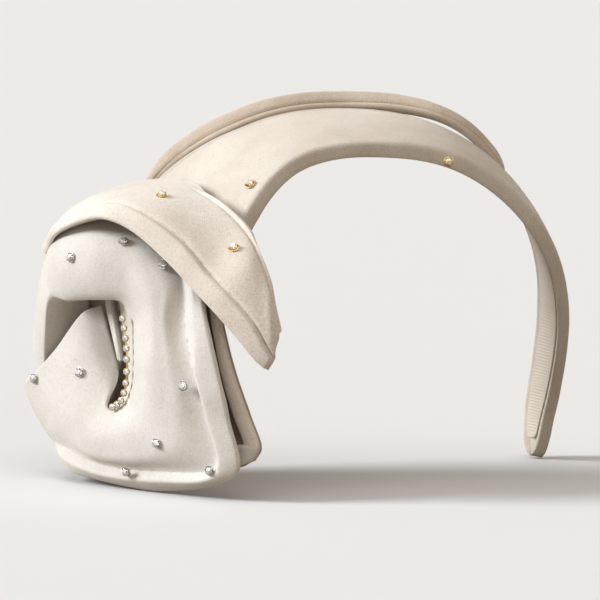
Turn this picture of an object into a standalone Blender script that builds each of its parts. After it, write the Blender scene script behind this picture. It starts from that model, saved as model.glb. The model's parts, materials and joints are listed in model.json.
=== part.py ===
"""Knotted felt headband: a wired felt bandeau that carries a folded felt knot over the right temple.

The wearer faces -Y and +Z is up. Lengths are millimetres and angles are degrees throughout, and
the functions that make objects turn them into metres. Places on the band are given by the turn round the crown
(0 at the top, positive towards the wearer's left), the distance along Y and the height above
the head form.
"""

import math

import bmesh
import bpy
from mathutils import Vector

MM = 0.001

# The head form the band is blocked on: a rounded box, 150 mm broad and 194 mm long.
HEAD_HALF = (75.0, 97.0, 106.0)
HEAD_POWER = 2.4
HEAD_CENTRE = Vector((14.22, 31.78, 14.19))

# The band: where its front and rear edges run, as (turn, y from the head's centre).
RIGHT_END = -98.0
LEFT_END = 100.0
FRONT_EDGE = (
    (-98, -34), (-90, -44), (-76, -52), (-60, -57), (-45, -58), (-33, -55.5), (-18, -50.5), (0, -53),
    (12, -55), (24, -56.5), (34, -55), (42, -51), (50, -45), (60, -36), (72, -24), (84, -13), (94, -5), (100, -1),
)
REAR_EDGE = (
    (-98, -6), (-90, 8), (-76, 21), (-60, 27), (-45, 26), (-33, 20), (-26, 8), (-18, -4), (0, -11),
    (12, -20), (24, -30), (34, -29), (42, -25), (50, -19), (60, -10), (72, 0), (84, 8), (94, 10.5), (100, 9.5),
)

# The layers of the band, as heights above the head form.
FELT = 2.0
LIP_FOOT = 0.4
BAND_TOP = 5.0
EDGE_ROUND = 1.8
BUCKRAM = (1.5, 2.5)
LINING = (0.3, 1.1)
LINING_INSET = 3.8
WIRE_INSET = 4.9
BUCKRAM_INSET = 7.0
WIRE_RADIUS = 0.5
WIRE_HEIGHT = 2.0
ARM_ENDS = (-90.0, 90.0)

# The flexing line, where the left arm springs away from the crown.
FLEX_TURN = 20.5
FLEX_GAP = 0.35
STRAP_FLEX_GAP = 0.8
TURN_STEP = 4.0

# The narrow rear strap: (turn, y, height) of its middle line.
STRAP_LINE = (
    (-38, 26, 5.7), (-33, 24.5, 5.8), (-26, 12.5, 6.2), (-18, 0.5, 6.8), (-9, -4, 7.0), (0, -6.6, 7.0),
    (10, -13.6, 7.0), (18, -21, 6.2), (26, -25.6, 4.6), (33, -24.6, 3.8),
)
STRAP_WIDTH = 7.6
STRAP_THICKNESS = 3.2
STRAP_LEAN = 48.0
STRAP_WIRE_RADIUS = 0.4
STRAP_BORE_GAP = 0.5

# The knot is laid out in a frame turned from the band's: across to the right, outwards, up.
KNOT_TURN = 20.0
SHEET = 2.0

# The cowl is one sheet wound round the slit: each section runs from the slit to the outer edge.
COWL = (
    ((-91, 22, 21), (-95, 31, 20), (-98, 32, 18), (-101, 25, 16), (-98, 15, 12), (-83, 9, 8)),
    ((-90, 24, 32), (-94.5, 37, 33), (-98, 38, 34), (-102, 28, 34), (-98.5, 14, 33), (-84, 10, 31)),
    ((-88, 28, 48), (-94, 42, 47), (-96.5, 41, 51), (-98, 31, 56), (-94.5, 16, 58), (-81, 9, 58)),
    ((-85, 38, 51), (-88.5, 54, 47), (-91, 54, 56), (-90.5, 48, 65.5), (-87, 29, 70), (-75, 9, 70)),
    ((-80, 43, 53), (-79.5, 63, 47), (-80.5, 67, 58), (-80, 63, 70), (-77, 46, 75), (-71, 26, 76)),
    ((-73, 50, 49), (-70.5, 70, 46), (-68.5, 76, 57), (-65, 74.5, 67), (-61, 64, 72), (-57, 51, 74)),
    ((-70.5, 54, 38), (-66.5, 71, 43), (-62, 82, 50), (-56, 83, 56), (-50, 82, 61), (-45, 75, 65)),
    ((-69, 55, 29), (-66, 72, 37), (-61, 84, 41), (-56, 87, 43), (-50, 89, 44), (-42, 95, 46)),
    ((-68.5, 56, 23), (-66, 73, 28), (-61, 86, 30), (-54, 91, 29), (-47, 95, 29), (-37.5, 101, 27)),
    ((-69.5, 57, 18), (-66.5, 72, 21), (-61, 86, 19), (-52, 93, 16), (-43, 98, 14), (-34.5, 103, 14)),
    ((-72.5, 58, 14), (-69, 69, 15), (-63, 82, 10), (-53, 91, 3), (-40, 99, -4), (-32, 103, -6)),
    ((-76, 58, 11), (-73, 66, 12), (-70, 74, 6), (-64, 79, -2), (-59.5, 80, -8), (-55, 78, -14)),
    ((-74, 55, 16), (-76, 62, 13), (-79, 64, 5), (-80, 62, -3), (-79, 60, -8), (-79, 54, -13)),
    ((-71.5, 55, 22), (-76, 58, 18), (-84.5, 56, 10), (-89, 49, 2), (-91, 44, -4), (-92, 36, -10)),
    ((-72.5, 53, 29), (-80, 54, 25), (-90, 48, 17), (-95.5, 40, 9), (-98, 29, 2), (-89, 12, -2)),
    ((-75, 50.5, 38), (-83, 51, 34), (-91.5, 45, 25), (-99.5, 36, 17), (-103, 26, 11), (-92, 7, 6)),
    ((-77.5, 46, 46.5), (-85, 46.5, 43), (-93, 41.5, 32), (-100.5, 35, 23), (-105, 26, 17), (-93, 5, 13)),
)

# The flap runs over the top of the knot: each section goes from its hem to the edge on the band.
FLAP = (
    ((-99, 24, 61.5), (-100.5, 21, 64.5), (-98, 14, 69), (-92, 9, 72), (-81, 6, 74)),
    ((-94, 49, 69.5), (-94, 46, 73), (-90, 32, 77.5), (-83.5, 15, 80), (-72, 6, 80.5)),
    ((-85, 65, 75), (-83, 61, 79.5), (-78, 45, 83.5), (-70, 25, 85.5), (-59, 12, 86.5)),
    ((-76, 74, 77), (-72, 70, 82), (-66, 54, 86), (-57, 38, 88), (-47, 46, 88)),
    ((-66, 80, 73), (-62, 79, 79), (-55, 67, 84), (-48, 55, 86), (-41, 60, 84)),
    ((-55, 87, 64), (-50, 87, 71), (-44, 77, 78), (-38, 70, 81), (-34, 71, 80)),
    ((-46, 93, 55), (-41, 94, 61), (-35, 88, 68), (-30, 81, 74), (-27, 79, 74)),
    ((-38, 98, 47), (-34, 100, 54), (-28, 96, 62), (-25, 90, 67), (-24, 88, 67)),
    ((-30, 101, 38), (-26, 104, 45), (-23, 102, 51), (-21, 98, 57), (-20, 95, 57)),
    ((-25, 102, 32), (-22, 105, 38), (-20, 105, 44), (-19, 101, 50), (-19, 99, 49)),
    ((-21, 102, 29), (-19, 105, 33), (-18, 105, 37), (-17, 104, 41), (-17, 102, 42)),
)

# The short tail that lies on the head under the flap and the cowl, from its top to its foot.
TAIL = (
    ((-52, 72, 55), (-46, 80, 56), (-41, 84, 56), (-38, 86, 55)),
    ((-50, 76, 45), (-45, 84, 45), (-40, 88, 45), (-36.5, 90, 44)),
    ((-47, 80, 30), (-42, 88, 30), (-37, 92.5, 29), (-32.5, 95, 28)),
    ((-45, 82, 14), (-39, 91, 16), (-33, 95.5, 15), (-27.5, 98, 14)),
    ((-41, 86, 3), (-35, 93, 3), (-29, 97.5, 4), (-24, 100, 4)),
    ((-40, 87, -4), (-34, 93, -4), (-30, 97, -3), (-26, 99, -1)),
)

# The narrow pleat that shows inside the slit.
PLEAT = (
    ((-76.3, 47, 47), (-74.4, 50, 47), (-72.6, 47.5, 47)),
    ((-75.2, 50, 41), (-73.4, 53.5, 42), (-71.8, 50.5, 41)),
    ((-73.4, 52.5, 35), (-72, 55.5, 36), (-70.7, 52.7, 35)),
    ((-72.1, 54, 30), (-71, 56, 30), (-69.8, 54, 30)),
)
PLEAT_SHEET = 0.5

# The stiffener under the knot, as turns and heights over the band.
KNOT_BASE_TURNS = (-86.0, -44.0)
KNOT_BASE_INSET = 9.0
KNOT_BASE_HEIGHT = 6.6
KNOT_BASE_SHEET = 1.2

# The trim.
CRYSTAL_RADIUS = 1.5
CRYSTAL_TABLE = 0.8
CRYSTAL_HEIGHT = 1.1
CRYSTAL_LIFT = 0.35
CHAIN_PATH = (
    (-69.4, 70.5, 43.5), (-68.4, 71, 37), (-68, 72, 30), (-68.3, 71, 22), (-70, 69, 16), (-73, 66.5, 13.5),
)
CHAIN_STONES = 11
CHAIN_RADIUS = 0.55
STONE_RADIUS = 1.15
STONE_HEIGHT = 0.9

# The comb under the crown. It turns about its spine.
COMB_SPINE_MIDDLE = (-4.0, -36.0, 97.2)
COMB_WIDTH = 36.0
COMB_TEETH = 15
COMB_TOOTH_WIDTH = 1.2
COMB_TOOTH_LENGTH = 22.0
COMB_SPINE = 2.4
COMB_THICKNESS = 1.2
COMB_LOOP_PITCHES = 5.5
LOOP_RADIUS = 1.95
LOOP_THREAD = 0.25

CREAM = (0.70, 0.63, 0.55, 1.0)
MATERIALS = {
    "felt": (CREAM, 0.95, 0.0),
    "lining": ((0.62, 0.55, 0.46, 1.0), 0.7, 0.0),
    "buckram": ((0.80, 0.77, 0.70, 1.0), 0.9, 0.0),
    "wire": ((0.75, 0.74, 0.72, 1.0), 0.35, 1.0),
    "brass": ((0.78, 0.60, 0.30, 1.0), 0.3, 1.0),
    "crystal": ((0.92, 0.93, 0.95, 1.0), 0.05, 0.0),
    "champagne": ((0.86, 0.74, 0.52, 1.0), 0.05, 0.0),
    "comb": ((0.80, 0.74, 0.66, 1.0), 0.25, 0.0),
    "thread": ((0.72, 0.66, 0.58, 1.0), 0.8, 0.0),
}


def clear_scene():
    for item in list(bpy.data.objects):
        bpy.data.objects.remove(item, do_unlink=True)


def material(name):
    made = bpy.data.materials.get(name)
    if made:
        return made
    colour, roughness, metallic = MATERIALS[name]
    made = bpy.data.materials.new(name)
    made.use_nodes = True
    shader = made.node_tree.nodes["Principled BSDF"]
    shader.inputs["Base Color"].default_value = colour
    shader.inputs["Roughness"].default_value = roughness
    shader.inputs["Metallic"].default_value = metallic
    made.diffuse_color = colour
    return made


def dress(item, material_name, parent=None):
    """Gives an object its material, its collection and, for a moving piece, its joint's empty."""
    item.data.materials.clear()
    item.data.materials.append(material(material_name))
    if not item.users_collection:
        PART.objects.link(item)
    if parent:
        item.parent = parent
        item.matrix_parent_inverse = parent.matrix_world.inverted()
    return item


def mesh_object(name, shape, material_name, parent=None):
    """Makes an object from a bmesh in millimetres."""
    for vertex in shape.verts:
        vertex.co *= MM
    mesh = bpy.data.meshes.new(name)
    shape.to_mesh(mesh)
    shape.free()
    mesh.shade_smooth()
    mesh.set_sharp_from_angle(angle=math.radians(40))
    return dress(bpy.data.objects.new(name, mesh), material_name, parent)


def catmull(before, first, second, after, t):
    """A point on the curve that passes through its control points, for numbers or vectors."""
    return 0.5 * (
        2 * first
        + (second - before) * t
        + (2 * before - 5 * first + 4 * second - after) * t * t
        + (3 * first - before - 3 * second + after) * t**3
    )


def along(points, position):
    """The point at this position on a curve through the points, counted in points."""
    last = len(points) - 1
    index = min(int(position), last - 1)
    before = points[index - 1] if index else 2 * points[0] - points[1]
    after = points[index + 2] if index + 2 <= last else 2 * points[last] - points[last - 1]
    return catmull(before, points[index], points[index + 1], after, position - index)


def at_turn(stations, turn):
    """Reads smoothly between stations that each begin with their turn."""
    index = 0
    while index < len(stations) - 2 and stations[index + 1][0] < turn:
        index += 1
    share = (turn - stations[index][0]) / (stations[index + 1][0] - stations[index][0])
    values = [Vector(station[1:] + (0.0,) * (4 - len(station))) for station in stations]
    return along(values, index + share)


def front_edge(turn):
    return at_turn(FRONT_EDGE, turn).x


def rear_edge(turn):
    return at_turn(REAR_EDGE, turn).x


def head_point(turn, y, height):
    """The point this high above the head form."""
    half = [side + height for side in HEAD_HALF]
    sine = math.sin(math.radians(turn))
    cosine = math.cos(math.radians(turn))
    room = max(1 - (abs(y) / half[1]) ** HEAD_POWER, 0.0)
    spread = (abs(sine) / half[0]) ** HEAD_POWER + (abs(cosine) / half[2]) ** HEAD_POWER
    radius = (room / spread) ** (1 / HEAD_POWER)
    return HEAD_CENTRE + Vector((radius * sine, y, radius * cosine))


def knot_point(across, outward, up):
    """A point of the knot's own frame in the band's frame."""
    sine = math.sin(math.radians(KNOT_TURN))
    cosine = math.cos(math.radians(KNOT_TURN))
    return HEAD_CENTRE + Vector((across * cosine - outward * sine, -across * sine - outward * cosine, up))


def turns_between(start, end, step=TURN_STEP):
    count = max(2, round((end - start) / step))
    return [start + (end - start) * index / count for index in range(count + 1)]


def grid_shape(rows):
    """An open surface through rows of points."""
    shape = bmesh.new()
    made = [[shape.verts.new(point) for point in row] for row in rows]
    for one, two in zip(made, made[1:]):
        for index in range(len(one) - 1):
            shape.faces.new((one[index], one[index + 1], two[index + 1], two[index]))
    return shape


def turn_outwards(shape):
    """Turns an open surface's faces away from the head."""
    shape.normal_update()
    lean = 0.0
    for face in shape.faces:
        lean += face.normal.dot(face.calc_center_median() - HEAD_CENTRE) * face.calc_area()
    if lean < 0:
        bmesh.ops.reverse_faces(shape, faces=shape.faces)


def sheet_object(name, rows, thickness, material_name, parent=None):
    """A sheet whose outer face passes through the rows: Solidify thickens it inwards."""
    shape = grid_shape(rows)
    turn_outwards(shape)
    item = mesh_object(name, shape, material_name, parent)
    solid = item.modifiers.new("Thickness", "SOLIDIFY")
    solid.thickness = thickness * MM
    solid.offset = -1.0
    return item


def wire_object(name, points, radius, material_name, parent=None, bevel=1):
    curve = bpy.data.curves.new(name, "CURVE")
    curve.dimensions = "3D"
    curve.bevel_depth = radius * MM
    curve.bevel_resolution = bevel
    curve.use_fill_caps = True
    line = curve.splines.new("POLY")
    line.points.add(len(points) - 1)
    for knot, point in zip(line.points, points):
        knot.co = (*(point * MM), 1.0)
    return dress(bpy.data.objects.new(name, curve), material_name, parent)


def felt_row(turn):
    """The band's outer face across: front lip, top, rear edge turned down."""
    front = front_edge(turn)
    rear = rear_edge(turn)
    top = [front + (rear - front) * share for share in (0.25, 0.5, 0.75)]
    places = [(front, LIP_FOOT), (front, BAND_TOP - EDGE_ROUND), (front + EDGE_ROUND, BAND_TOP)]
    places += [(y, BAND_TOP) for y in top]
    places += [(rear - EDGE_ROUND, BAND_TOP), (rear, BAND_TOP - EDGE_ROUND), (rear, LIP_FOOT)]
    return [head_point(turn, y, height) for y, height in places]


def layer_row(turn, inset, height):
    """A flat layer inside the band's turned edges."""
    front = front_edge(turn) + inset
    rear = rear_edge(turn) - inset
    return [head_point(turn, front + (rear - front) * step / 4, height) for step in range(5)]


def halves(start, end, gap=FLEX_GAP):
    """The turns of the right half and of the left half, on each side of the flexing line."""
    return {
        "right": turns_between(start, FLEX_TURN - gap),
        "left": turns_between(FLEX_TURN + gap, end),
    }


def build_band(joint):
    for side, turns in halves(RIGHT_END, LEFT_END).items():
        parent = joint if side == "left" else None
        sheet_object(f"band_felt_{side}", [felt_row(turn) for turn in turns], FELT, "felt", parent)
    for side, turns in halves(*ARM_ENDS).items():
        parent = joint if side == "left" else None
        rows = [layer_row(turn, BUCKRAM_INSET, BUCKRAM[1]) for turn in turns]
        sheet_object(f"band_buckram_{side}", rows, BUCKRAM[1] - BUCKRAM[0], "buckram", parent)
        rows = [layer_row(turn, LINING_INSET, LINING[1]) for turn in turns]
        sheet_object(f"band_lining_{side}", rows, LINING[1] - LINING[0], "lining", parent)
        front = [head_point(turn, front_edge(turn) + WIRE_INSET, WIRE_HEIGHT) for turn in turns]
        wire_object(f"front_wire_{side}", front, WIRE_RADIUS, "wire", parent)
        rear = [head_point(turn, rear_edge(turn) - WIRE_INSET, WIRE_HEIGHT) for turn in turns]
        wire_object(f"rear_wire_{side}", rear, WIRE_RADIUS, "wire", parent)


def strap_ring(turn):
    """The strap's outline across: a flat strip with rounded edges, leaning back."""
    y, height = at_turn(STRAP_LINE, turn).xy
    lean = math.radians(STRAP_LEAN)
    ring = []
    for index in range(8):
        angle = math.tau * (index + 0.5) / 8
        wide = math.copysign(STRAP_WIDTH / 2 * min(1, abs(math.cos(angle)) * 1.08), math.cos(angle))
        thick = math.copysign(STRAP_THICKNESS / 2 * min(1, abs(math.sin(angle)) * 1.08), math.sin(angle))
        along_y = wide * math.cos(lean) - thick * math.sin(lean)
        along_height = wide * math.sin(lean) + thick * math.cos(lean)
        ring.append(head_point(turn, y + along_y, height + along_height))
    return ring


def hollow_rows(turn):
    """The strap as a folded strip: its outer ring and the bore its wire lies in."""
    outer = strap_ring(turn)
    middle = sum(outer, Vector()) / len(outer)
    inner = [middle + (point - middle).normalized() * (STRAP_WIRE_RADIUS + STRAP_BORE_GAP) for point in outer]
    return outer, inner


def build_strap(joint):
    start, end = STRAP_LINE[0][0], STRAP_LINE[-1][0]
    for side, turns in halves(start, end, STRAP_FLEX_GAP).items():
        parent = joint if side == "left" else None
        shape = bmesh.new()
        outers = []
        inners = []
        middles = []
        for turn in turns:
            outer, inner = hollow_rows(turn)
            outers.append([shape.verts.new(point) for point in outer])
            inners.append([shape.verts.new(point) for point in inner])
            middles.append(sum(outer, Vector()) / len(outer))
        count = len(outers[0])
        for rings in (outers, inners):
            for one, two in zip(rings, rings[1:]):
                for index in range(count):
                    after = (index + 1) % count
                    shape.faces.new((one[index], one[after], two[after], two[index]))
        for row in (0, -1):
            for index in range(count):
                after = (index + 1) % count
                shape.faces.new((outers[row][index], outers[row][after], inners[row][after], inners[row][index]))
        bmesh.ops.recalc_face_normals(shape, faces=shape.faces)
        mesh_object(f"strap_felt_{side}", shape, "felt", parent)
        wire_object(f"strap_wire_{side}", middles, STRAP_WIRE_RADIUS, "wire", parent)


def sheet_grid(sections, long_steps, cross_steps):
    """Rows of points on the smooth surface through the sections."""
    placed = [[knot_point(*point) for point in section] for section in sections]
    last = len(placed) - 1
    width = len(placed[0]) - 1
    rows = []
    for long_index in range(last * long_steps + 1):
        controls = [along([section[k] for section in placed], long_index / long_steps) for k in range(width + 1)]
        rows.append([along(controls, cross / cross_steps) for cross in range(width * cross_steps + 1)])
    return rows


def sheet_place(sections, long_position, cross_position):
    """A point on a sheet's outer face and the outward normal there."""
    placed = [[knot_point(*point) for point in section] for section in sections]

    def spot(one, two):
        one = min(max(one, 0.0), len(placed) - 1.0)
        two = min(max(two, 0.0), len(placed[0]) - 1.0)
        return along([along([section[k] for section in placed], one) for k in range(len(placed[0]))], two)

    step = 0.04
    here = spot(long_position, cross_position)
    one = spot(long_position + step, cross_position) - spot(long_position - step, cross_position)
    two = spot(long_position, cross_position + step) - spot(long_position, cross_position - step)
    normal = one.cross(two).normalized()
    middle = HEAD_CENTRE + Vector((0, 0, 30))
    return here, normal if normal.dot(here - middle) > 0 else -normal


def hem_wire(name, sections, cross_position, positions, radius=0.45):
    """The wire that stiffens a sheet's edge, just under the sheet."""
    points = []
    for position in positions:
        here, normal = sheet_place(sections, position, cross_position)
        points.append(here - normal * (SHEET + radius + 0.45))
    return wire_object(name, points, radius, "wire")


def spread(start, end, count):
    return [start + (end - start) * index / (count - 1) for index in range(count)]


def build_knot():
    sheet_object("knot_cowl", sheet_grid(COWL, 2, 2), SHEET, "felt")
    sheet_object("knot_flap", sheet_grid(FLAP, 2, 2), SHEET, "felt")
    sheet_object("knot_tail", sheet_grid(TAIL, 2, 2), SHEET, "felt")
    sheet_object("knot_pleat", sheet_grid(PLEAT, 2, 2), PLEAT_SHEET, "felt")
    rows = []
    for turn in turns_between(*KNOT_BASE_TURNS, step=6.0):
        front = front_edge(turn) + KNOT_BASE_INSET
        rear = rear_edge(turn) - KNOT_BASE_INSET
        rows.append([head_point(turn, front + (rear - front) * step / 6, KNOT_BASE_HEIGHT) for step in range(7)])
    sheet_object("knot_base", rows, KNOT_BASE_SHEET, "buckram")
    hem_wire("flap_wire", FLAP, 0.35, spread(1.0, 9.6, 20))
    hem_wire("cowl_wire", COWL, 4.6, spread(6.6, 10.0, 12))
    hem_wire("tail_wire", TAIL, 2.6, spread(0.4, 4.8, 9))


def gem_object(name, place, normal, radius, table, height, material_name):
    """A flat-backed stone: an eight-sided frustum standing on its broad face."""
    shape = bmesh.new()
    bmesh.ops.create_cone(shape, cap_ends=True, segments=8, radius1=radius, radius2=table, depth=height)
    turn = Vector((0, 0, 1)).rotation_difference(normal).to_matrix()
    centre = place + normal * (CRYSTAL_LIFT + height / 2)
    for vertex in shape.verts:
        vertex.co = turn @ vertex.co + centre
    return mesh_object(name, shape, material_name)


# Where the crystals are sewn: sheet, position along it, position across it, colour.
CRYSTALS = (
    ("flap", 3.9, 1.9, "champagne"),
    ("flap", 6.2, 2.2, "champagne"),
    ("cowl", 3.5, 2.4, "crystal"),
    ("cowl", 4.7, 3.0, "crystal"),
    ("cowl", 5.7, 3.4, "crystal"),
    ("cowl", 8.4, 3.6, "crystal"),
    ("cowl", 10.2, 2.7, "crystal"),
    ("cowl", 10.0, 4.0, "crystal"),
    ("cowl", 11.4, 3.8, "crystal"),
    ("cowl", 14.2, 1.4, "crystal"),
    ("cowl", 15.6, 3.1, "crystal"),
)

# Two more are on the band: turn, distance in from the front edge, height. The second is on the lip.
BAND_CRYSTALS = ((-28.0, 5.5, BAND_TOP), (12.7, 0.0, 2.4))


def band_place(turn, inset, height):
    """A point on the band's outer face, or on its lip, and the outward normal there."""
    y = front_edge(turn) + inset
    if height < BAND_TOP:
        return head_point(turn, y, height), Vector((0, -1, 0))
    here = head_point(turn, y, height)
    one = head_point(turn + 1, y, height) - head_point(turn - 1, y, height)
    two = head_point(turn, y + 1, height) - head_point(turn, y - 1, height)
    normal = one.cross(two).normalized()
    return here, normal if normal.dot(here - HEAD_CENTRE) > 0 else -normal


def build_crystals():
    sheets = {"flap": FLAP, "cowl": COWL}
    number = 0
    for sheet, long_position, cross_position, colour in CRYSTALS:
        number += 1
        place, normal = sheet_place(sheets[sheet], long_position, cross_position)
        gem_object(f"crystal_{number:02d}", place, normal, CRYSTAL_RADIUS, CRYSTAL_TABLE, CRYSTAL_HEIGHT, colour)
    for spot in BAND_CRYSTALS:
        number += 1
        place, normal = band_place(*spot)
        gem_object(
            f"crystal_{number:02d}", place, normal, CRYSTAL_RADIUS, CRYSTAL_TABLE, CRYSTAL_HEIGHT, "champagne"
        )


def build_chain():
    path = [knot_point(*point) for point in CHAIN_PATH]
    spots = [along(path, position) for position in spread(0.0, len(path) - 1.0, CHAIN_STONES)]
    wire_object("cup_chain", spots, CHAIN_RADIUS, "brass")
    outward = (knot_point(-0.45, 0.89, 0) - HEAD_CENTRE).normalized()
    for number, spot in enumerate(spots, 1):
        base = spot + outward * (CHAIN_RADIUS - 0.05)
        gem_object(f"chain_stone_{number:02d}", base, outward, STONE_RADIUS, 0.6, STONE_HEIGHT, "crystal")


def build_comb(joint):
    """A flat comb outline, extruded, whose spine lies on the joint's axis."""
    curve = bpy.data.curves.new("comb", "CURVE")
    curve.dimensions = "2D"
    curve.fill_mode = "BOTH"
    curve.extrude = COMB_THICKNESS / 2 * MM
    line = curve.splines.new("POLY")
    half = COMB_WIDTH / 2
    pitch = (COMB_WIDTH - COMB_TOOTH_WIDTH) / (COMB_TEETH - 1)
    outline = [(half, -COMB_SPINE / 2), (half, COMB_SPINE / 2)]
    for tooth in range(COMB_TEETH):
        middle = half - COMB_TOOTH_WIDTH / 2 - tooth * pitch
        reach = COMB_SPINE / 2 + COMB_TOOTH_LENGTH
        side = COMB_TOOTH_WIDTH / 2
        outline += [(middle + side, reach - 2), (middle, reach), (middle - side, reach - 2)]
        if tooth < COMB_TEETH - 1:
            outline += [(middle - side, COMB_SPINE / 2), (middle + side - pitch, COMB_SPINE / 2)]
    outline += [(-half, -COMB_SPINE / 2)]
    line.points.add(len(outline) - 1)
    for knot, (x, y) in zip(line.points, outline):
        knot.co = (x * MM, y * MM, 0.0, 1.0)
    line.use_cyclic_u = True
    comb = bpy.data.objects.new("comb", curve)
    dress(comb, "comb")
    comb.parent = joint
    for side, sign in (("right", -1), ("left", 1)):
        place = joint.location + Vector((sign * COMB_LOOP_PITCHES * pitch, 0, 0)) * MM
        bpy.ops.mesh.primitive_torus_add(
            major_radius=LOOP_RADIUS * MM,
            minor_radius=LOOP_THREAD * MM,
            major_segments=12,
            minor_segments=6,
            location=place,
            rotation=(0, math.pi / 2, 0),
        )
        loop = bpy.context.object
        for collection in list(loop.users_collection):
            collection.objects.unlink(loop)
        loop.name = f"comb_loop_{side}"
        dress(loop, "thread")


def joint_empty(name, place):
    empty = bpy.data.objects.new(name, None)
    empty.location = place * MM
    PART.objects.link(empty)
    bpy.context.view_layer.update()
    return empty


clear_scene()
PART = bpy.data.collections.new("knotted_headband")
bpy.context.scene.collection.children.link(PART)
middle_of_flex = (front_edge(FLEX_TURN) + rear_edge(FLEX_TURN)) / 2
band_flex = joint_empty("band_flex", head_point(FLEX_TURN, middle_of_flex, BAND_TOP / 2))
comb_tilt = joint_empty("comb_tilt", HEAD_CENTRE + Vector(COMB_SPINE_MIDDLE))
build_band(band_flex)
build_strap(band_flex)
build_knot()
build_crystals()
build_chain()
build_comb(comb_tilt)
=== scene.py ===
"""Looks of the knotted felt headband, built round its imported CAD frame.

The wearer faces -Y and +Z is up. Lengths are millimetres and angles are degrees; mesh_piece turns
millimetres into metres. Places on the band are a turn round the crown (0 at the top, positive
towards the wearer's left), a distance along Y and a height above the head form, as in the CAD.
"""

import json
import math

import bpy
import numpy as np
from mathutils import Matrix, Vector, noise


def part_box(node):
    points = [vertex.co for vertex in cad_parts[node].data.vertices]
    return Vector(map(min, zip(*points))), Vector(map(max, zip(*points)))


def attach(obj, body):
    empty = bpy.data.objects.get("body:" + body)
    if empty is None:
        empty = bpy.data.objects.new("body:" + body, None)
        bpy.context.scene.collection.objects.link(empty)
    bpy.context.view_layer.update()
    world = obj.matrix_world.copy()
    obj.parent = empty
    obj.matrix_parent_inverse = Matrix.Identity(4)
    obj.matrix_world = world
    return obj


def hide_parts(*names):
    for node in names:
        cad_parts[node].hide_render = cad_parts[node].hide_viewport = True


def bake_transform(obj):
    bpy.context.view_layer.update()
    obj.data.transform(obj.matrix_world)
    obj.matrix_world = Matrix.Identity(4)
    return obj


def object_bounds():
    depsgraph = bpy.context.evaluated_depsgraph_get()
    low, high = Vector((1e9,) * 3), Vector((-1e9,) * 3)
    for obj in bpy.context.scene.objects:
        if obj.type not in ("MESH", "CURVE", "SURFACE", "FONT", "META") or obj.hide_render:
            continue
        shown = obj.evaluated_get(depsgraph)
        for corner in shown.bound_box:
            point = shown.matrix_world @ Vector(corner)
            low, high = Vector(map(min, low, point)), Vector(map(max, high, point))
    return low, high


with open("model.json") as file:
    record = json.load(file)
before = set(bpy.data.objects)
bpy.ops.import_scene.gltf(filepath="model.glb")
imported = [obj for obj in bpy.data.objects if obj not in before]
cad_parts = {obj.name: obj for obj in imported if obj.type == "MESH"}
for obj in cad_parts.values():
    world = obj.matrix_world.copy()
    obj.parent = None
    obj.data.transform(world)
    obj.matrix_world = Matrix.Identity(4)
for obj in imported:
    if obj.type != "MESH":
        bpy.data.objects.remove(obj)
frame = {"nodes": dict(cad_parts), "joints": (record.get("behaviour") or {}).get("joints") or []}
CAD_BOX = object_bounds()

MM = 0.001
ROOT = "crown_and_knot"

# The head form the band is blocked on. Its centre follows from the comb's joint, on the comb's spine.
HEAD_HALF = (75.0, 97.0, 106.0)
HEAD_POWER = 2.4
COMB_SPINE_MIDDLE = np.array((-4.0, -36.0, 97.2))
JOINTS = {joint["name"]: joint for joint in frame["joints"]}
COMB_AXIS = np.array(JOINTS["comb_tilt"]["pos_m"]) / MM
HEAD_CENTRE = COMB_AXIS - COMB_SPINE_MIDDLE
# A point inside the head, to tell outwards from inwards.
HEAD_INSIDE = HEAD_CENTRE + (0, 0, 30)
KNOT_TURN = 20.0

# Where the band's edges run, as (turn, y from the head's centre), and the height of its top.
RIGHT_END = -98.0
LEFT_END = 100.0
LINING_ENDS = (-93.0, 95.0)
BAND_TOP = 5.0
FRONT_EDGE = (
    (-98, -34), (-90, -44), (-76, -52), (-60, -57), (-45, -58), (-33, -55.5), (-18, -50.5), (0, -53),
    (12, -55), (24, -56.5), (34, -55), (42, -51), (50, -45), (60, -36), (72, -24), (84, -13),
    (94, -5), (100, -1),
)
REAR_EDGE = (
    (-98, -6), (-90, 8), (-76, 21), (-60, 27), (-45, 26), (-33, 20), (-26, 8), (-18, -4), (0, -11),
    (12, -20), (24, -30), (34, -29), (42, -25), (50, -19), (60, -10), (72, 0), (84, 8),
    (94, 10.5), (100, 9.5),
)

# The narrow rear strap: (turn, y, height) of its middle line. The tables after it give, turn by turn,
# its width, its rise above that line and how far it tucks in towards the band.
STRAP_LINE = (
    (-38, 26, 5.7), (-33, 24.5, 5.8), (-26, 12.5, 6.2), (-18, 0.5, 6.8), (-9, -4, 7.0), (0, -6.6, 7.0),
    (10, -13.6, 7.0), (18, -21, 6.2), (26, -25.6, 4.6), (33, -24.6, 3.8),
)
STRAP_ENDS = (-38.0, 30.5)
STRAP_WIDTHS = (
    (-38, 3.6), (-30, 6.4), (-18, 7.6), (0, 7.6), (10, 6.8), (16, 5.6), (22, 4.9), (28, 4.4), (31, 4.0),
)
STRAP_RISE = (
    (-38, -1.2), (-33, -0.4), (-28, 0.0), (2, 0.0), (10, 0.8), (16, 2.0), (22, 2.4), (27, 1.5), (31, 0.0),
)
STRAP_TUCK = ((-38, 2.3), (-34, 0.9), (-29, 0.0), (20, 0.0), (25, 0.9), (28, 2.2), (31, 3.6))
STRAP_THICKNESS = 3.2
STRAP_LEAN = 48.0

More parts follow.
